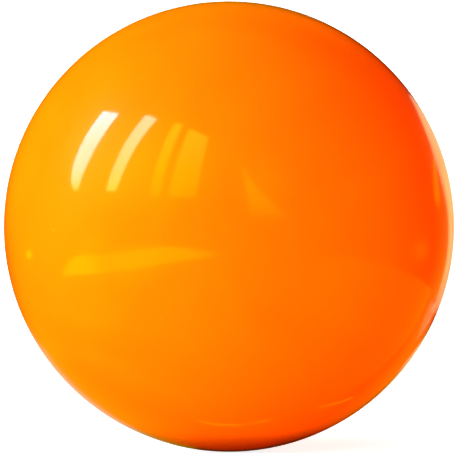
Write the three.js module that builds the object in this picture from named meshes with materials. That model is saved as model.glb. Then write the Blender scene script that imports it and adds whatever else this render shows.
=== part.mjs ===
// A hollow, smooth court ball the size of a pickleball, moulded as two half shells that are
// plugged together by a tongue and groove round their rims and welded there.
// Millimetres, +Z up. The origin is the ball's centre. The shells are drawn from the mould
// along Y, so they meet in the XZ plane: the front half is at -Y and the rear half at +Y.
import * as THREE from 'three';

// Driving dimensions, in millimetres unless a name says otherwise.
const BALL_DIAMETER = 74;
const WALL = 1.4;
const RIM_WALL = 3.2; // the wall is thickened inwards here, so that it can hold the joint
const RIM_HEIGHT = 4; // how far the thickened rim runs from the joint plane
const RIM_TAPER = 2.5; // how far the thickened rim takes to run back into the plain wall
const WITNESS_DEPTH = 0.12; // the fine V left round the outside, where the shells meet
const WITNESS_HALF_WIDTH = 0.16;
const OUTER_LAND = 0.95; // flat ring outside the groove, on which the shells close
const GROOVE_WIDTH = 1.1;
const GROOVE_DEPTH = 2;
const TONGUE_SIDE_GAP = 0.1;
const BEAD_HEIGHT = 0.4; // weld left between the tongue's tip and the groove's floor
const BEAD_CHAMFER = 0.1;
const INNER_LAND_GAP = 0.1; // the inner lands stay open, so the outer ones always close

// How finely the round shapes are cut.
const SEGMENTS_ROUND = 64;
const OUTER_ARC_STEPS = 16;
const INNER_ARC_STEPS = 12;

// Radii worked out from the dimensions above.
const BALL_RADIUS = BALL_DIAMETER / 2;
const CAVITY_RADIUS = BALL_RADIUS - WALL;
const RIM_INNER_RADIUS = BALL_RADIUS - RIM_WALL;
const GROOVE_OUTER_RADIUS = BALL_RADIUS - OUTER_LAND;
const GROOVE_INNER_RADIUS = GROOVE_OUTER_RADIUS - GROOVE_WIDTH;
const TONGUE_OUTER_RADIUS = GROOVE_OUTER_RADIUS - TONGUE_SIDE_GAP;
const TONGUE_INNER_RADIUS = GROOVE_INNER_RADIUS + TONGUE_SIDE_GAP;
const TONGUE_HEIGHT = GROOVE_DEPTH - BEAD_HEIGHT;

const SHELL_PLASTIC = { color: 0xfe7e02, roughness: 0.12, metalness: 0 };
const WELD_PLASTIC = { color: 0xd96a0a, roughness: 0.45, metalness: 0 };

// A circular arc about the centre, from one height above the joint plane to another.
// Each point is (distance from the axis, height above the joint plane).
function arc(radius, startHeight, endHeight, steps) {
  const startAngle = Math.asin(startHeight / radius);
  const endAngle = Math.asin(endHeight / radius);
  const points = [];
  for (let i = 0; i <= steps; i += 1) {
    const angle = startAngle + ((endAngle - startAngle) * i) / steps;
    const onAxis = (i === steps && endHeight === radius) || (i === 0 && startHeight === radius);
    points.push([onAxis ? 0 : radius * Math.cos(angle), radius * Math.sin(angle)]);
  }
  return points;
}

// The rim of the half that takes the tongue, from its outer edge to its inner edge.
function grooveRim() {
  return [
    [BALL_RADIUS - WITNESS_DEPTH, 0],
    [GROOVE_OUTER_RADIUS, 0],
    [GROOVE_OUTER_RADIUS, GROOVE_DEPTH],
    [GROOVE_INNER_RADIUS, GROOVE_DEPTH],
    [GROOVE_INNER_RADIUS, INNER_LAND_GAP],
    [RIM_INNER_RADIUS, INNER_LAND_GAP],
  ];
}

// The rim of the half that carries the tongue, which stands out past the joint plane.
function tongueRim() {
  return [
    [BALL_RADIUS - WITNESS_DEPTH, 0],
    [TONGUE_OUTER_RADIUS, 0],
    [TONGUE_OUTER_RADIUS, -TONGUE_HEIGHT],
    [TONGUE_INNER_RADIUS, -TONGUE_HEIGHT],
    [TONGUE_INNER_RADIUS, 0],
    [RIM_INNER_RADIUS, 0],
  ];
}

// One half shell's section: down the outside from the pole, round the rim and back up inside.
function shellSection(rim) {
  const outside = arc(BALL_RADIUS, BALL_RADIUS, WITNESS_HALF_WIDTH, OUTER_ARC_STEPS);
  const inside = arc(CAVITY_RADIUS, RIM_HEIGHT + RIM_TAPER, CAVITY_RADIUS, INNER_ARC_STEPS);
  return [...outside, ...rim, [RIM_INNER_RADIUS, RIM_HEIGHT], ...inside];
}

// The weld's section, a flat ring with broken edges, in the groove's own half.
function beadSection() {
  const top = GROOVE_DEPTH;
  const bottom = GROOVE_DEPTH - BEAD_HEIGHT;
  const section = [
    [TONGUE_OUTER_RADIUS - BEAD_CHAMFER, top],
    [TONGUE_OUTER_RADIUS, top - BEAD_CHAMFER],
    [TONGUE_OUTER_RADIUS, bottom + BEAD_CHAMFER],
    [TONGUE_OUTER_RADIUS - BEAD_CHAMFER, bottom],
    [TONGUE_INNER_RADIUS + BEAD_CHAMFER, bottom],
    [TONGUE_INNER_RADIUS, bottom + BEAD_CHAMFER],
    [TONGUE_INNER_RADIUS, top - BEAD_CHAMFER],
    [TONGUE_INNER_RADIUS + BEAD_CHAMFER, top],
  ];
  return [...section, section[0]];
}

// Turns a section about Y. side is 1 for the rear half and -1 for the front half. The lathe's
// faces point outwards when the section is followed upwards on its outer side.
function turned(section, side) {
  const placed = section.map(([fromAxis, height]) => new THREE.Vector2(fromAxis, height * side));
  const upwards = side > 0 ? placed.reverse() : placed;
  return new THREE.LatheGeometry(upwards, SEGMENTS_ROUND);
}

function piece(name, geometry, finish) {
  const mesh = new THREE.Mesh(geometry, new THREE.MeshStandardMaterial(finish));
  mesh.name = name;
  return mesh;
}

const ball = new THREE.Group();
ball.add(piece('front_half_shell', turned(shellSection(grooveRim()), -1), SHELL_PLASTIC));
ball.add(piece('rear_half_shell', turned(shellSection(tongueRim()), 1), SHELL_PLASTIC));
ball.add(piece('weld_bead', turned(beadSection(), -1), WELD_PLASTIC));

export default ball;
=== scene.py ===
"""The looks of a smooth, glossy, hollow court ball made of two half shells and a weld.

The ball stands at the origin with its mould axis along Y. Both shells and the weld are built
here at full smoothness, in the space their CAD solids hold. Lengths are in metres.
"""

import math

import bmesh
import bpy
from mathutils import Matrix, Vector, noise

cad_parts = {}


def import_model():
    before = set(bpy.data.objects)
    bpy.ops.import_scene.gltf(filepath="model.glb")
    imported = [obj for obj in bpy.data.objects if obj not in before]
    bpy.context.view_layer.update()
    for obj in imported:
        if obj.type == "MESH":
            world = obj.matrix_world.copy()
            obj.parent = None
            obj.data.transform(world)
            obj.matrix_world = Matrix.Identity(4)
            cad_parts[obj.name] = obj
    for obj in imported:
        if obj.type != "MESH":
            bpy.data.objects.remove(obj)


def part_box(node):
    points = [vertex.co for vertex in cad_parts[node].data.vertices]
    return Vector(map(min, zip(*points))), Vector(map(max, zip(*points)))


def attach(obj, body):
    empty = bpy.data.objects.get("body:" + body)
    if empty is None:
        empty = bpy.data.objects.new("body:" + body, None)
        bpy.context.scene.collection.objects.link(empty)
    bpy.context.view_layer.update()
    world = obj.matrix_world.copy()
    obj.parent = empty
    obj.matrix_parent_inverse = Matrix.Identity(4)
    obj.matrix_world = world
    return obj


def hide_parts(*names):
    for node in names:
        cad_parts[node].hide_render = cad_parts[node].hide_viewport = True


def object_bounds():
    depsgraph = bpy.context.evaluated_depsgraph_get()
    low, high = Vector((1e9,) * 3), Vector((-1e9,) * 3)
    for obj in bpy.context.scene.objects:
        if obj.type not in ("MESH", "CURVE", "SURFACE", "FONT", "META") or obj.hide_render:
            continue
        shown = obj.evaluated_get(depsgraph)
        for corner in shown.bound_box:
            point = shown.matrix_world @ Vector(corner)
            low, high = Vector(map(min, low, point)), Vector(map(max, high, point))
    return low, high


MM = 0.001

# The shells' section. The joint's other radii and depths come from the frame, further down.
WALL = 1.4 * MM
RIM_WALL = 3.2 * MM
RIM_HEIGHT = 4.0 * MM
RIM_TAPER = 2.5 * MM
WITNESS_DEPTH = 0.12 * MM
WITNESS_HALF_WIDTH = 0.16 * MM
GROOVE_SIDE_GAP = 0.1 * MM
INNER_LAND_GAP = 0.1 * MM
EDGE_ROUND = 0.06 * MM
BEAD_CHAMFER = 0.1 * MM
TONGUE_WIDTH = 0.9 * MM

# How finely the round shapes are drawn.
SEGMENTS_ROUND = 288
OUTER_ARC_STEPS = 110
INNER_ARC_STEPS = 48
EDGE_STEPS = 3
BEAD_SIDE_STEPS = 4
SHARP_ANGLE = 35
ON_THE_AXIS = 1e-9

# The moulding isn't a perfect sphere: its skin pulls in by up to SINK_DEPTH as it cools. The
# weld is uneven too.
SINK_DEPTH = 0.012 * MM
SINK_SIZE = 15 * MM
SINK_FADE = 3 * MM
BEAD_UNEVENNESS = 0.04 * MM
BEAD_LUMP_SIZE = 2.5 * MM

# The plastic's colours.
ORANGE_DEEP = (0.955, 0.128, 0.0004, 1)
ORANGE_LIGHT = (0.985, 0.145, 0.0008, 1)
ORANGE_GRAIN = (0.8, 0.09, 0.0004, 1)
ORANGE_RUBBED = (1, 0.21, 0.006, 1)
GROOVE_DIRT = (0.3, 0.035, 0.002, 1)
BODY_SHEEN = (1, 0.7, 0.02, 1)
WELD_DARK = (0.6, 0.09, 0.003, 1)
WELD_LIGHT = (0.76, 0.15, 0.006, 1)

# The gloss: a clear skin over a duller body, and what dulls the skin. A pair is a range.
PLASTIC_IOR = 1.5
BODY_IOR_UNDER_SKIN = 1.25
BODY_ROUGHNESS = (0.28, 0.32)
SKIN_ROUGHNESS = 0.06
HAZE_SPREAD = 0.012
HAZE_CLOUD = (0.35, 0.65)
RUB_DULLING = 0.16
SCUFF_DULLING = 0.12
WELD_ROUGHNESS = (0.38, 0.55)

# Marks and relief on the plastic, in millimetres. Scuffs are (spacing, width).
STREAM_SIZE, STREAM_SWIRL = 24, 1.2
GRAIN_SIZE = 0.3
HAZE_SIZE = 9
RUBBED_PATCH_SIZE = 1.6
DIRT_PATCH_SIZE = 1.1
FINE_SCUFFS = (6, 0.05)
LONG_SCUFFS = (15, 0.08)
SCUFF_DEPTH = 0.0008
WAVE_SIZE, WAVE_HEIGHT = 7, 0.012
PEEL_SIZE, PEEL_HEIGHT = 1.3, 0.002
MELT_SIZE, MELT_SWIRL = 2.2, 1
RIPPLE_SIZE, RIPPLE_HEIGHT = 0.7, 0.06
SPECKLE_SIZE, SPECKLE_HEIGHT = 0.15, 0.01

# Scuff lines bend SCUFF_BEND times in their spacing, in patches SCUFF_PATCH spacings wide.
SCUFF_BEND = 0.6
SCUFF_PATCH = 1.7

# How each cloud or distance becomes a strength: from, to, strength there, strength there.
STREAMS = (0.3, 0.7, 0, 1)
GRAINS = (0.58, 0.75, 0, 0.16)
RUBBED_PATCHES = (0.4, 0.6, 0.1, 0.7)
DIRT_PATCHES = (0.3, 0.6, 0.4, 0.9)
SCUFF_PATCHES = (0.54, 0.62, 0, 1)
MELTED = (0.35, 0.65, 0, 1)
NEAR_JOINT = (0.16, 0.9, 1, 0)
IN_GROOVE = (0.1, 0.17, 1, 0)

# A pinhead pit in the skin: its azimuth and elevation, and its size in millimetres.
PIT_AT = (-48.4, 2.8)
PIT_RADIUS = 0.45
PIT_DEPTH = 0.12

# The camera: a long lens, a little above the ball, that fills the frame with it.
CAMERA_ELEVATION = 5
CAMERA_DISTANCE_IN_RADII = 16
SENSOR_WIDTH = 36
BALL_SHARE_OF_WIDTH = 0.982
BALL_LEFT_OF_CENTRE = 0.001
CLIP_START, CLIP_END = 0.01, 100

# The stage, in metres. The glowing cards stand STAGE_DISTANCE from the ball.
STAGE_DISTANCE = 5
SPOT_STEPS = 24
FLOOR_RADIUS = 6.0
FLOOR_STEPS = 96
FLOOR_COLOUR = (0.8, 0.8, 0.8, 1)
FLOOR_ROUGHNESS = 0.9
FLOOR_GLOW = 0.85
GROUND_WHITE = (1, 1, 1, 1)
GROUND_STRENGTH = 1.1
ROOM_DARK = (0.02, 0.01, 0.0, 1)
SHADE_RADIUS = 21.5 * MM
SHADE_STEPS = 48
SHADE_BELOW_FLOOR = 0.1 * MM

# The soft lights: azimuth, elevation and spread in degrees, then brightness and colour.
SUNS = {
    "window_light": (-90, 10, 60, 2.25, (1, 1, 1)),
    "rear_window": (-120, 45, 60, 1.03, (1, 1, 1)),
    "front_fill": (-30, 20, 30, 1.15, (1, 1, 1)),
    "floor_bounce": (0, -38, 60, 1.3, (1, 0.54, 0)),
    "warm_bounce": (120, 0, 60, 2.2, (1, 0.19, 0)),
}

# The cards' colours. A card's strengths multiply its colour.
AMBER = (1, 1, 0)
CREAM = (1, 1, 0.55)
PEACH = (0.6, 0.6, 1)
EMBER = (1, 0.1, 0)
DEEP_EMBER = (1, 0.02, 0)


# ---------------------------------------------------------------- shapes

def arc(radius, start_height, end_height, steps):
    """Points of a circle about the centre, as (distance from the axis, height over the joint)."""
    start = math.asin(min(1, start_height / radius))
    end = math.asin(min(1, end_height / radius))
    angles = [start + (end - start) * i / steps for i in range(steps + 1)]
    return [(max(0.0, radius * math.cos(a)), radius * math.sin(a)) for a in angles]


def rounded(corners, radius, steps):
    """An open line through corners, with each inner corner rounded by a small curve."""
    points = [corners[0]]
    for before, corner, after in zip(corners, corners[1:], corners[2:]):
        before, corner, after = Vector(before), Vector(corner), Vector(after)
        reach = min(radius, (before - corner).length / 2, (after - corner).length / 2)
        start = corner + (before - corner).normalized() * reach
        end = corner + (after - corner).normalized() * reach
        for i in range(steps + 1):
            t = i / steps
            curve = start * (1 - t) ** 2 + corner * 2 * t * (1 - t) + end * t ** 2
            points.append(tuple(curve))
    points.append(corners[-1])
    return points


def groove_rim(joint):
    """The rim of the half that takes the tongue, from its outer edge to its inner edge."""
    inside = joint["tongue_inner"] - GROOVE_SIDE_GAP
    outside = joint["tongue_outer"] + GROOVE_SIDE_GAP
    return [
        (joint["ball"] - WITNESS_DEPTH, 0),
        (outside, 0),
        (outside, joint["groove_depth"]),
        (inside, joint["groove_depth"]),
        (inside, INNER_LAND_GAP),
        (joint["ball"] - RIM_WALL, INNER_LAND_GAP),
    ]


def tongue_rim(joint):
    """The rim of the half that carries the tongue, which stands out past the joint plane."""
    return [
        (joint["ball"] - WITNESS_DEPTH, 0),
        (joint["tongue_outer"], 0),
        (joint["tongue_outer"], -joint["tongue_height"]),
        (joint["tongue_inner"], -joint["tongue_height"]),
        (joint["tongue_inner"], 0),
        (joint["ball"] - RIM_WALL, 0),
    ]


def shell_section(rim, joint):
    """One half shell's section: from the pole down the outside, round the rim, up the inside."""
    radius, cavity = joint["ball"], joint["ball"] - WALL
    outside = arc(radius, radius, WITNESS_HALF_WIDTH, OUTER_ARC_STEPS)
    inside = arc(cavity, RIM_HEIGHT + RIM_TAPER, cavity, INNER_ARC_STEPS)
    corners = [outside[-1], *rim, (radius - RIM_WALL, RIM_HEIGHT), inside[0]]
    return outside[:-1] + rounded(corners, EDGE_ROUND, EDGE_STEPS) + inside[1:]


def bead_section(joint):
    """The weld's section, a flat ring with broken edges, on the groove's floor."""
    top, bottom = joint["groove_depth"], joint["tongue_height"]
    outer, inner = joint["tongue_outer"], joint["tongue_inner"]
    corners = [
        (outer - BEAD_CHAMFER, top),
        (outer, top - BEAD_CHAMFER),
        (outer, bottom + BEAD_CHAMFER),
        (outer - BEAD_CHAMFER, bottom),
        (inner + BEAD_CHAMFER, bottom),
        (inner, bottom + BEAD_CHAMFER),
        (inner, top - BEAD_CHAMFER),
        (inner + BEAD_CHAMFER, top),
    ]
    section = []
    for start, end in zip(corners, corners[1:] + corners[:1]):
        for i in range(BEAD_SIDE_STEPS):
            t = i / BEAD_SIDE_STEPS
            section.append(tuple(Vector(start) * (1 - t) + Vector(end) * t))
    return section


def turned(name, section, side, closed):
    """A mesh made by turning a section about Y. side is 1 for the rear half, -1 for the front."""
    bm = bmesh.new()
    rings = []
    for from_axis, height in section:
        if from_axis < ON_THE_AXIS:
            rings.append([bm.verts.new((0, height * side, 0))])
            continue
        ring = []
        for i in range(SEGMENTS_ROUND):
            turn = 2 * math.pi * i / SEGMENTS_ROUND
            ring.append(bm.verts.new(
                (from_axis * math.sin(turn), height * side, from_axis * math.cos(turn))))
        rings.append(ring)
    followers = rings[1:] + (rings[:1] if closed else [])
    for ring, following in zip(rings, followers):
        for i in range(SEGMENTS_ROUND):
            j = (i + 1) % SEGMENTS_ROUND
            corners = [ring[i % len(ring)], ring[j % len(ring)],
                       following[j % len(following)], following[i % len(following)]]
            bm.faces.new(list(dict.fromkeys(corners)))
    bmesh.ops.recalc_face_normals(bm, faces=bm.faces)
    mesh = bpy.data.meshes.new(name)
    bm.to_mesh(mesh)
    bm.free()
    mesh.shade_smooth()
    mesh.set_sharp_from_angle(angle=math.radians(SHARP_ANGLE))
    piece = bpy.data.objects.new(name, mesh)
    bpy.context.scene.collection.objects.link(piece)
    return piece


def sink_outside(piece, radius):
    """Pulls the outer skin in by a hair, unevenly, as a cooling moulding does."""
    for vertex in piece.data.vertices:
        if vertex.co.length < radius - WITNESS_DEPTH / 2:
            continue
        direction = vertex.co.normalized()
        fade = min(1, abs(vertex.co.y) / SINK_FADE)
        swell = noise.noise(direction * (radius / SINK_SIZE))
        vertex.co = direction * (radius - SINK_DEPTH * fade * (1 + swell) / 2)


def roughen_bead(piece):
    """Makes the weld uneven, as plastic that flowed and froze in the groove is."""
    for vertex in piece.data.vertices:
        lump = noise.noise(vertex.co / BEAD_LUMP_SIZE)
        outward = Vector((vertex.co.x, 0, vertex.co.z)).normalized()
        vertex.co -= outward * BEAD_UNEVENNESS * (1 + lump) / 2


# ---------------------------------------------------------------- materials

def node_tree(name):
    """A new material with its node tree and its Principled shader."""
    material = bpy.data.materials.new(name)
    material.use_nodes = True
    tree = material.node_tree
    return material, tree, tree.nodes["Principled BSDF"]


def feed(tree, socket, value):
    """Gives an input a plain value, or links it to another node's output."""
    if isinstance(value, bpy.types.NodeSocket):
        tree.links.new(value, socket)
    else:
        socket.default_value = value


def millimetres(tree):
    """The place on the piece, in millimetres from the ball's centre."""
    coordinates = tree.nodes.new("ShaderNodeTexCoord")
    node = tree.nodes.new("ShaderNodeVectorMath")
    node.operation = "SCALE"
    feed(tree, node.inputs["Vector"], coordinates.outputs["Object"])
    feed(tree, node.inputs["Scale"], 1 / MM)
    return node.outputs["Vector"]


def cloud(tree, place, size, detail=2.0, swirl=0.0):
    """Smooth noise from 0 to 1, with lumps about size millimetres across."""
    node = tree.nodes.new("ShaderNodeTexNoise")
    feed(tree, node.inputs["Vector"], place)
    feed(tree, node.inputs["Scale"], 1 / size)
    feed(tree, node.inputs["Detail"], detail)
    feed(tree, node.inputs["Distortion"], swirl)
    return node.outputs[0]


def remap(tree, value, start, end, low, high):
    """Carries the range start to end onto low to high, and holds the value at both ends."""
    node = tree.nodes.new("ShaderNodeMapRange")
    for name, part in (("Value", value), ("From Min", start), ("From Max", end),
                       ("To Min", low), ("To Max", high)):
        feed(tree, node.inputs[name], part)
    return node.outputs["Result"]


def maths(tree, operation, first, second=0.0):
    """One step of arithmetic on one or two values."""
    node = tree.nodes.new("ShaderNodeMath")
    node.operation = operation
    feed(tree, node.inputs[0], first)
    feed(tree, node.inputs[1], second)
    return node.outputs["Value"]


def blend(tree, amount, first, second):
    """A colour part of the way from the first to the second."""
    node = tree.nodes.new("ShaderNodeMix")
    node.data_type = "RGBA"
    sockets = {socket.identifier: socket for socket in node.inputs}
    feed(tree, sockets["Factor_Float"], amount)
    feed(tree, sockets["A_Color"], first)
    feed(tree, sockets["B_Color"], second)
    return next(out for out in node.outputs if out.identifier == "Result_Color")


def bump(tree, height, millimetres_high, below=None):
    """Surface relief from a height between 0 and 1, on top of any relief below it."""
    node = tree.nodes.new("ShaderNodeBump")
    feed(tree, node.inputs["Distance"], millimetres_high * MM)
    feed(tree, node.inputs["Height"], height)
    if below:
        feed(tree, node.inputs["Normal"], below)
    return node.outputs["Normal"]


def hairlines(tree, place, spacing, width):
    """Fine scuffs: the edges of warped cells, kept only in scattered patches."""
    warp = tree.nodes.new("ShaderNodeTexNoise")
    feed(tree, warp.inputs["Vector"], place)
    feed(tree, warp.inputs["Scale"], SCUFF_BEND / spacing)
    shift = tree.nodes.new("ShaderNodeVectorMath")
    shift.operation = "MULTIPLY_ADD"
    feed(tree, shift.inputs[0], warp.outputs["Color"])
    feed(tree, shift.inputs[1], (spacing, spacing, spacing))
    feed(tree, shift.inputs[2], place)
    cells = tree.nodes.new("ShaderNodeTexVoronoi")
    cells.feature = "DISTANCE_TO_EDGE"
    feed(tree, cells.inputs["Vector"], shift.outputs["Vector"])
    feed(tree, cells.inputs["Scale"], 1 / spacing)
    lines = remap(tree, cells.outputs["Distance"], 0, width / spacing, 1, 0)
    patches = remap(tree, cloud(tree, place, SCUFF_PATCH * spacing), *SCUFF_PATCHES)
    return maths(tree, "MULTIPLY", lines, patches)


def from_seam(tree, place):
    """The distance to the joint plane, in millimetres."""
    node = tree.nodes.new("ShaderNodeSeparateXYZ")
    feed(tree, node.inputs["Vector"], place)
    return maths(tree, "ABSOLUTE", node.outputs["Y"])


def pit(tree, place, centre, radius):
    """A round dip that is 1 at the centre and fades to 0 at the radius."""
    node = tree.nodes.new("ShaderNodeVectorMath")
    node.operation = "DISTANCE"
    feed(tree, node.inputs[0], place)
    feed(tree, node.inputs[1], tuple(centre))
    return remap(tree, node.outputs["Value"], 0, radius, 1, 0)


def shell_colour(tree, place, streams, seam, rub):
    """Streams and grains of pigment, paler rubbed edges at the joint, and dirt in its groove."""
    colour = blend(tree, streams, ORANGE_DEEP, ORANGE_LIGHT)
    grains = remap(tree, cloud(tree, place, GRAIN_SIZE, 1), *GRAINS)
    colour = blend(tree, grains, colour, ORANGE_GRAIN)
    colour = blend(tree, rub, colour, ORANGE_RUBBED)
    in_groove = remap(tree, seam, *IN_GROOVE)
    patches = remap(tree, cloud(tree, place, DIRT_PATCH_SIZE), *DIRT_PATCHES)
    return blend(tree, maths(tree, "MULTIPLY", in_groove, patches), colour, GROOVE_DIRT)


def skin_roughness(tree, place, rub, scuffs):
    """Haze that comes and goes, duller by the joint and on the scuffs."""
    dull, bright = SKIN_ROUGHNESS + HAZE_SPREAD, SKIN_ROUGHNESS - HAZE_SPREAD
    haze = remap(tree, cloud(tree, place, HAZE_SIZE, 3), *HAZE_CLOUD, bright, dull)
    haze = maths(tree, "ADD", haze, maths(tree, "MULTIPLY", rub, RUB_DULLING))
    return maths(tree, "ADD", haze, maths(tree, "MULTIPLY", scuffs, SCUFF_DULLING))


def shell_relief(tree, place, scuffs, radius):
    """The mould's slow waves, orange peel, scuffs and one pinhead pit."""
    relief = bump(tree, cloud(tree, place, WAVE_SIZE, 1), WAVE_HEIGHT)
    relief = bump(tree, cloud(tree, place, PEEL_SIZE, 1), PEEL_HEIGHT, relief)
    relief = bump(tree, scuffs, -SCUFF_DEPTH, relief)
    dip = pit(tree, place, towards(*PIT_AT) * radius / MM, PIT_RADIUS)
    return bump(tree, dip, -PIT_DEPTH, relief)


def shell_plastic(radius):
    """Glossy moulded orange plastic, with a clear bright skin over a pigmented body."""
    material, tree, shader = node_tree("orange_shell_plastic")
    place = millimetres(tree)
    seam = from_seam(tree, place)
    scuffs = maths(tree, "MAXIMUM",
                   hairlines(tree, place, *FINE_SCUFFS), hairlines(tree, place, *LONG_SCUFFS))
    streams = remap(tree, cloud(tree, place, STREAM_SIZE, 3, STREAM_SWIRL), *STREAMS)
    near_joint = remap(tree, seam, *NEAR_JOINT)
    patches = remap(tree, cloud(tree, place, RUBBED_PATCH_SIZE, 3), *RUBBED_PATCHES)
    rub = maths(tree, "MULTIPLY", near_joint, patches)
    relief = shell_relief(tree, place, scuffs, radius)

    feed(tree, shader.inputs["Base Color"], shell_colour(tree, place, streams, seam, rub))
    feed(tree, shader.inputs["Roughness"], remap(tree, streams, 0, 1, *BODY_ROUGHNESS))
    feed(tree, shader.inputs["Normal"], relief)
    feed(tree, shader.inputs["IOR"], BODY_IOR_UNDER_SKIN)
    feed(tree, shader.inputs["Specular Tint"], BODY_SHEEN)
    feed(tree, shader.inputs["Coat Weight"], 1)
    feed(tree, shader.inputs["Coat Roughness"], skin_roughness(tree, place, rub, scuffs))
    feed(tree, shader.inputs["Coat Normal"], relief)
    feed(tree, shader.inputs["Coat IOR"], PLASTIC_IOR)
    return material


def weld_plastic():
    """The same plastic, melted and set in the joint: duller, darker and rippled."""
    material, tree, shader = node_tree("welded_plastic")
    place = millimetres(tree)
    melt = remap(tree, cloud(tree, place, MELT_SIZE, 3, MELT_SWIRL), *MELTED)
    ripples = bump(tree, cloud(tree, place, RIPPLE_SIZE, 2), RIPPLE_HEIGHT)
    speckles = bump(tree, cloud(tree, place, SPECKLE_SIZE, 1), SPECKLE_HEIGHT, ripples)
    feed(tree, shader.inputs["Base Color"], blend(tree, melt, WELD_DARK, WELD_LIGHT))
    feed(tree, shader.inputs["Roughness"], remap(tree, melt, 0, 1, *WELD_ROUGHNESS))
    feed(tree, shader.inputs["Normal"], speckles)
    feed(tree, shader.inputs["IOR"], PLASTIC_IOR)
    return material


# ---------------------------------------------------------------- the stage

def towards(azimuth, elevation):
    """A direction. Azimuth 0 is towards the viewer, 90 to the right; elevation is above level."""
    a, e = math.radians(azimuth), math.radians(elevation)
    return Vector((math.sin(a) * math.cos(e), -math.cos(a) * math.cos(e), math.sin(e)))


def behind(around, off):
    """A direction off degrees from straight behind the ball, as the camera sees it.

    The ball's rim reflects what lies behind it. around is 0 to the right and 90 upwards.
    """
    turn, tilt = math.radians(around), math.radians(off)
    right, up = Vector((1, 0, 0)), towards(0, CAMERA_ELEVATION + 90)
    sideways = right * math.cos(turn) + up * math.sin(turn)
    return sideways * math.sin(tilt) - towards(0, CAMERA_ELEVATION) * math.cos(tilt)


def glowing(name):
    """A see-through material that adds the mesh's own "glow" colours to what is behind it."""
    material = bpy.data.materials.new(name)
    material.use_nodes = True
    nodes, links = material.node_tree.nodes, material.node_tree.links
    nodes.clear()
    colours = nodes.new("ShaderNodeAttribute")
    colours.attribute_name = "glow"
    emission = nodes.new("ShaderNodeEmission")
    clear = nodes.new("ShaderNodeBsdfTransparent")
    both = nodes.new("ShaderNodeAddShader")
    output = nodes.new("ShaderNodeOutputMaterial")
    links.new(colours.outputs["Color"], emission.inputs["Color"])
    links.new(emission.outputs["Emission"], both.inputs[0])
    links.new(clear.outputs["BSDF"], both.inputs[1])
    links.new(both.outputs["Shader"], output.inputs["Surface"])
    return material


def tint(colour, strength):
    """A colour at a strength."""
    return tuple(part * strength for part in colour)


def card(name, directions, glows, faces, material):
    """A distant glowing card that shows only in the gloss."""
    mesh = bpy.data.meshes.new(name)
    mesh.from_pydata([direction * STAGE_DISTANCE for direction in directions], [], faces)
    colours = mesh.color_attributes.new("glow", "FLOAT_COLOR", "POINT")
    for point, glow in zip(colours.data, glows):
        point.color = (*glow, 1)
    mesh.materials.append(material)
    made = bpy.data.objects.new(name, mesh)
    bpy.context.scene.collection.objects.link(made)
    made.visible_camera = False
    made.visible_diffuse = False
    made.visible_shadow = False


def ribbon(name, material, slices):
    """A card across slices. Each slice is (edge, other edge, glow there, glow there)."""
    directions = [edge for one, other, *glows in slices for edge in (one, other)]
    glows = [glow for one, other, *both in slices for glow in both]
    faces = [(i, i + 1, i + 3, i + 2) for i in range(0, len(directions) - 2, 2)]
    card(name, directions, glows, faces, material)


def pane(name, material, *rows):
    """A window pane from the bottom up. Each row is (left corner, right corner, glow)."""
    ribbon(name, material, [
        (towards(*left), towards(*right), glow, glow) for left, right, glow in rows])


def band(name, material, colour, *columns):
    """A level band. Each column is (azimuth, low, high, strength at low, strength at high)."""
    ribbon(name, material, [
        (towards(azimuth, low), towards(azimuth, high), tint(colour, dim), tint(colour, bright))
        for azimuth, low, high, dim, bright in columns])


def rim_fan(name, material, colour, *spokes):
    """A patch behind the ball. Each spoke is (angle around, near, far, strength at each)."""
    ribbon(name, material, [
        (behind(around, near), behind(around, far), tint(colour, bright), tint(colour, dim))
        for around, near, far, bright, dim in spokes])


def rim_rings(name, material, colour, rings, *spokes):
    """A patch behind the ball over several rings. Each spoke is (angle around, strengths)."""
    directions = [behind(around, off) for around, *strengths in spokes for off in rings]
    glows = [tint(colour, strength) for around, *strengths in spokes for strength in strengths]
    wide = len(rings)
    faces = [(i * wide + j, i * wide + j + 1, (i + 1) * wide + j + 1, (i + 1) * wide + j)
             for i in range(len(spokes) - 1) for j in range(wide - 1)]
    card(name, directions, glows, faces, material)


def spot(name, material, middle, width, height, glow):
    """A card that fades from its middle to nothing at its oval edge."""
    azimuth, elevation = middle
    directions = [towards(azimuth, elevation)]
    for i in range(SPOT_STEPS):
        turn = 2 * math.pi * i / SPOT_STEPS
        directions.append(towards(azimuth + width / 2 * math.cos(turn),
                                  elevation + height / 2 * math.sin(turn)))
    glows = [glow] + [(0, 0, 0)] * SPOT_STEPS
    faces = [(0, 1 + i, 1 + (i + 1) % SPOT_STEPS) for i in range(SPOT_STEPS)]
    card(name, directions, glows, faces, material)


def soft_sun(name, azimuth, elevation, spread, brightness, colour):
    """A distant soft light, unseen in the gloss. brightness is that of a white sheet facing it."""
    light = bpy.data.lights.new(name, "SUN")
    light.energy = math.pi * brightness
    light.angle = math.radians(spread)
    light.color = colour
    lamp = bpy.data.objects.new(name, light)
    lamp.rotation_mode = "QUATERNION"
    lamp.rotation_quaternion = towards(azimuth, elevation).to_track_quat("Z", "Y")
    lamp.visible_glossy = False
    light.cycles.use_multiple_importance_sampling = False
    bpy.context.scene.collection.objects.link(lamp)


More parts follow.
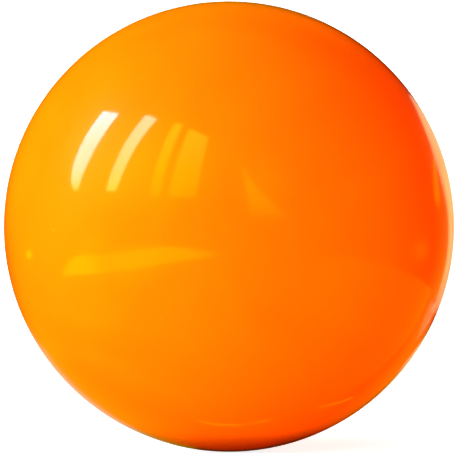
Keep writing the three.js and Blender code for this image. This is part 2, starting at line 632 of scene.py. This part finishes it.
def world():
    """White to the camera, and nearly dark in the ball's reflections."""
    made = bpy.data.worlds.new("studio")
    bpy.context.scene.world = made
    made.use_nodes = True
    nodes, links = made.node_tree.nodes, made.node_tree.links
    nodes.clear()
    path = nodes.new("ShaderNodeLightPath")
    seen = nodes.new("ShaderNodeBackground")
    seen.inputs["Color"].default_value = GROUND_WHITE
    seen.inputs["Strength"].default_value = GROUND_STRENGTH
    unseen = nodes.new("ShaderNodeBackground")
    unseen.inputs["Color"].default_value = ROOM_DARK
    mix = nodes.new("ShaderNodeMixShader")
    output = nodes.new("ShaderNodeOutputWorld")
    links.new(path.outputs["Is Camera Ray"], mix.inputs["Fac"])
    links.new(unseen.outputs["Background"], mix.inputs[1])
    links.new(seen.outputs["Background"], mix.inputs[2])
    links.new(mix.outputs["Shader"], output.inputs["Surface"])


def disc(name, radius, steps, height):
    """A flat disc on the stage. The ball doesn't reflect it and takes no light from it."""
    bm = bmesh.new()
    bmesh.ops.create_circle(bm, cap_ends=True, segments=steps, radius=radius)
    mesh = bpy.data.meshes.new(name)
    bm.to_mesh(mesh)
    bm.free()
    made = bpy.data.objects.new(name, mesh)
    made.location.z = height
    made.visible_glossy = False
    made.visible_diffuse = False
    bpy.context.scene.collection.objects.link(made)
    return made


def floor(height):
    """A large pale disc under the ball, held near white by a little light of its own."""
    material = bpy.data.materials.new("pale_floor")
    material.use_nodes = True
    shader = material.node_tree.nodes["Principled BSDF"]
    shader.inputs["Base Color"].default_value = FLOOR_COLOUR
    shader.inputs["Roughness"].default_value = FLOOR_ROUGHNESS
    shader.inputs["Specular IOR Level"].default_value = 0
    shader.inputs["Emission Color"].default_value = GROUND_WHITE
    shader.inputs["Emission Strength"].default_value = FLOOR_GLOW
    ground = disc("pale_floor", FLOOR_RADIUS, FLOOR_STEPS, height)
    ground.data.materials.append(material)
    ground.visible_shadow = False


def contact_shade(height):
    """An unseen disc that keeps the light from below off the ball where it meets the floor."""
    shade = disc("contact_shade", SHADE_RADIUS, SHADE_STEPS, height - SHADE_BELOW_FLOOR)
    shade.visible_camera = False


def camera(radius):
    """A camera at the viewing angle, whose lens makes the ball fill its share of the frame."""
    distance = CAMERA_DISTANCE_IN_RADII * radius
    half_angle = math.asin(1 / CAMERA_DISTANCE_IN_RADII)
    data = bpy.data.cameras.new("camera")
    data.sensor_width = SENSOR_WIDTH
    data.lens = SENSOR_WIDTH * BALL_SHARE_OF_WIDTH / 2 / math.tan(half_angle)
    data.shift_x = BALL_LEFT_OF_CENTRE
    data.clip_start = CLIP_START
    data.clip_end = CLIP_END
    seen_from = bpy.data.objects.new("camera", data)
    seen_from.location = towards(0, CAMERA_ELEVATION) * distance
    seen_from.rotation_mode = "QUATERNION"
    seen_from.rotation_quaternion = towards(0, CAMERA_ELEVATION).to_track_quat("Z", "Y")
    bpy.context.scene.collection.objects.link(seen_from)
    bpy.context.scene.camera = seen_from


# ---------------------------------------------------------------- what the gloss reflects

def window_panes(material):
    """The bright window at the upper left, pane by pane, its frame, and the wall beside it."""
    pane("pane_1", material,
         ((-88.5, 13.2), (-85, 14), (8, 5, 0.2)),
         ((-92.4, 16), (-85.8, 17.8), (11, 7.5, 4.5)),
         ((-95.2, 20.9), (-85.8, 23.7), (11, 8, 8)),
         ((-98, 29), (-86.4, 33.3), (12, 9, 10)),
         ((-102, 41.4), (-89.4, 45.7), (16, 12, 17)))
    pane("pane_2", material,
         ((-67.6, 16.7), (-61.5, 17.7), (7, 7, 1)),
         ((-68, 25.2), (-60.9, 26.7), (7, 7, 3)),
         ((-69.8, 52.4), (-59, 53.2), (9, 9, 8)))
    pane("pane_3", material,
         ((-42, 17.3), (-36, 17.8), (2, 1.6, 0)),
         ((-42.5, 30), (-36.5, 31), (3, 2.8, 0)),
         ((-43.3, 44), (-36.2, 45), (4, 4, 0.1)),
         ((-44, 53.8), (-36.8, 55), (4.4, 4.4, 0.1)))
    pane("pane_4", material,
         ((-31.7, 18.2), (-16.9, 19.1), (2.2, 2, 0)),
         ((-31.5, 30), (-16.2, 31), (2.8, 2.6, 0)),
         ((-31, 41), (-15, 42), (3.5, 3.3, 0.1)),
         ((-30.3, 53), (-14.5, 50), (4.4, 4.4, 0.1)))
    pane("frame_glint", material,
         ((-10.9, 30), (-9.4, 30), (0.5, 0.5, 0)),
         ((-11.2, 51), (-9.7, 51), (1, 1, 0)))
    pane("wall_light", material,
         ((10.6, 11), (29.5, 8.5), (0.9, 0.9, 0)),
         ((8.8, 24), (14.5, 24), (1.9, 1.9, 0)),
         ((7, 36), (7.8, 36), (1.2, 1.2, 0)))


def sill_and_table(material):
    """The sill below the window, the window's and wall's soft bloom, two lamps and the table."""
    band("sill_lamp", material, AMBER,
         (-97, -17.2, -16, 1.6, 1.6),
         (-90, -17.2, -12.5, 2.4, 2.4),
         (-84, -17.2, -10, 3.1, 2.2),
         (-76, -17.3, -9.8, 3.1, 2.2),
         (-69, -17.4, -9.6, 2, 1.5))
    band("sill_band", material, AMBER,
         (-69, -17.2, -9.6, 1.4, 1.4),
         (-52, -16.2, -8, 1.8, 1.8),
         (-34, -13.8, -5.4, 2.1, 2.1),
         (-22, -12, -5.6, 2.2, 2.2),
         (-13, -10.5, -7, 1.9, 1.9),
         (-3, -9.5, -7.5, 0.4, 0.4))
    spot("window_bloom", material, (-48, 32), 100, 56, (1.7, 1.5, 0))
    spot("wall_bloom", material, (16, 25), 38, 44, (0.75, 0.6, 0))
    band("sill_haze", material, AMBER,
         (-92, -21, -8, 0, 0.2),
         (-80, -21.5, -7, 0.1, 0.5),
         (-62, -22, -6, 0.35, 0.6),
         (-45, -21, -4.5, 0.4, 0.7),
         (-28, -18, -4, 0.1, 0.6),
         (-10, -12, -5, 0, 0))
    spot("sill_glint", material, (-72, -5), 24, 5, (1.4, 1.2, 0))
    spot("left_lamp", material, (-123.4, -9.4), 9, 2.6, (4, 3.4, 0))
    spot("right_lamp", material, (114, -8.5), 24, 8, (0.6, 0.5, 0))
    band("table_edge", material, AMBER,
         (32, -55, -11, 0, 0),
         (58, -55, -10.7, 0, 0.35),
         (76, -55, -12, 0, 0.35),
         (90, -55, -13.8, 0, 0.35),
         (103, -55, -15.2, 0, 0.35),
         (137, -55, -15.4, 0, 0.4))


def room_behind(material):
    """The room behind the ball, which its rim reflects: walls, and warm light low and high."""
    rim_rings("room_left", material, AMBER, (2, 24, 40, 60),
              (50, 0, 0, 0, 0),
              (72, 0.03, 0.1, 0.12, 0),
              (88, 0.12, 0.2, 0.2, 0),
              (150, 0.18, 0.23, 0.23, 0),
              (188, 0.03, 0.05, 0.1, 0),
              (205, 0.2, 0.2, 0.22, 0),
              (214, 0.4, 0.38, 0.33, 0),
              (242, 0.38, 0.36, 0.33, 0),
              (262, 0, 0, 0, 0))
    rim_rings("room_right", material, AMBER, (2, 24, 36, 54),
              (-66, 0, 0, 0, 0),
              (-45, 0.22, 0.22, 0.2, 0),
              (-31, 0.2, 0.2, 0.3, 0),
              (-26, 0, 0.1, 0.3, 0),
              (12, 0.05, 0.3, 0.1, 0),
              (33, 0, 0, 0, 0))
    rim_rings("ember", material, EMBER, (20, 27, 40, 56),
              (30, 0, 0, 0, 0),
              (40, 0, 0.3, 0.3, 0),
              (66, 0, 0.6, 0.45, 0),
              (82, 0, 0.1, 0.1, 0))
    rim_rings("floor_ember", material, DEEP_EMBER, (14, 24, 36, 52),
              (244, 0, 0, 0, 0),
              (258, 0, 0.7, 1.1, 0),
              (280, 0, 0.6, 1.1, 0),
              (292, 0, 0.1, 0.1, 0),
              (300, 0, 0, 0, 0))


def doorway_behind(material):
    """A pale doorway behind the ball at its right, with an amber fringe and shelves below it."""
    rim_fan("doorway", material, CREAM,
            (36, 15, 24, 0.5, 0.3),
            (30, 8, 30, 0.75, 0.6),
            (25, 3, 33.5, 0.65, 0.75),
            (18, 3, 37, 0.65, 0.65),
            (12, 3, 35.5, 0.7, 0.6),
            (4, 3, 31.5, 0.57, 0.55),
            (-10, 3, 29.5, 0.52, 0.52),
            (-20.5, 3, 30, 0.47, 0.43),
            (-23, 12, 33, 0.1, 0.2))
    rim_fan("doorway_fringe", material, AMBER,
            (34, 18, 27, 0.2, 0),
            (28, 24, 34, 0.3, 0),
            (18, 28, 39, 0.3, 0),
            (4, 22, 36, 0.35, 0),
            (-12, 22, 36, 0.35, 0),
            (-19, 28, 38, 0.1, 0))
    rim_fan("doorway_side", material, AMBER,
            (18, 36, 41, 0.4, 0.4),
            (13, 40, 47, 0.5, 0.5),
            (8, 42.5, 50, 0.6, 0.6),
            (5, 44, 47, 0.2, 0.2))
    rim_fan("low_shelf", material, CREAM,
            (-20.5, 24, 38, 0.25, 0.25),
            (-25, 24, 38, 0.4, 0.2),
            (-31, 30, 34, 0.2, 0))
    rim_fan("lower_shelf", material, CREAM,
            (-29, 3, 14, 0.4, 0.4),
            (-33, 3, 20, 0.5, 0.45),
            (-38, 3, 23, 0.4, 0.3),
            (-46, 3, 14, 0.3, 0.1))


def ground_behind(material):
    """Pale ground at the ball's lower left, and two thin arcs near its foot."""
    rim_fan("pale_ground", material, PEACH,
            (205, 8, 14, 0.3, 0.1),
            (214, 8, 29, 0.45, 0.05),
            (222, 2, 30, 0.75, 0),
            (234, 2, 30, 0.75, 0),
            (246, 2, 24, 0.6, 0),
            (256, 2, 16, 0.3, 0))
    rim_fan("ring_left", material, AMBER,
            (260, 61.6, 62.6, 0.8, 0.8),
            (265, 60, 61, 2, 2),
            (271, 59.2, 60.2, 1.8, 1.8),
            (275, 59.3, 60.2, 0.6, 0.6),
            (281, 60.2, 61.2, 1.6, 1.6),
            (283, 60.8, 61.6, 0, 0))
    rim_fan("ring_right", material, AMBER,
            (295, 56.6, 57.6, 0, 0),
            (299, 52.8, 54, 1.4, 1.4),
            (306, 44.2, 45.4, 1, 1))


# ---------------------------------------------------------------- building it

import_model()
cad_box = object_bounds()

bead_low, bead_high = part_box("weld_bead")
tongue_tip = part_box("rear_half_shell")[0]
JOINT = {
    "ball": (cad_box[1].y - cad_box[0].y) / 2,
    "tongue_outer": bead_high.z,
    "tongue_inner": bead_high.z - TONGUE_WIDTH,
    "tongue_height": -tongue_tip.y,
    "groove_depth": -bead_low.y,
}

orange = shell_plastic(JOINT["ball"])
weld = weld_plastic()

front = turned("front_shell_moulding", shell_section(groove_rim(JOINT), JOINT), -1, False)
rear = turned("rear_shell_moulding", shell_section(tongue_rim(JOINT), JOINT), 1, False)
bead = turned("weld_ring", bead_section(JOINT), -1, True)
sink_outside(front, JOINT["ball"])
sink_outside(rear, JOINT["ball"])
roughen_bead(bead)
for piece, material, node, slot in (
    (front, orange, "front_half_shell", "shell_plastic"),
    (rear, orange, "rear_half_shell", "shell_plastic"),
    (bead, weld, "weld_bead", "weld_plastic"),
):
    piece.data.materials.append(material)
    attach(piece, "root")
    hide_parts(node)

world()
floor(cad_box[0].z)
contact_shade(cad_box[0].z)
camera(JOINT["ball"])
for name, sun in SUNS.items():
    soft_sun(name, *sun)

reflection_glow = glowing("reflection_glow")
window_panes(reflection_glow)
sill_and_table(reflection_glow)
room_behind(reflection_glow)
doorway_behind(reflection_glow)
ground_behind(reflection_glow)

bpy.context.scene.view_settings.view_transform = "Standard"
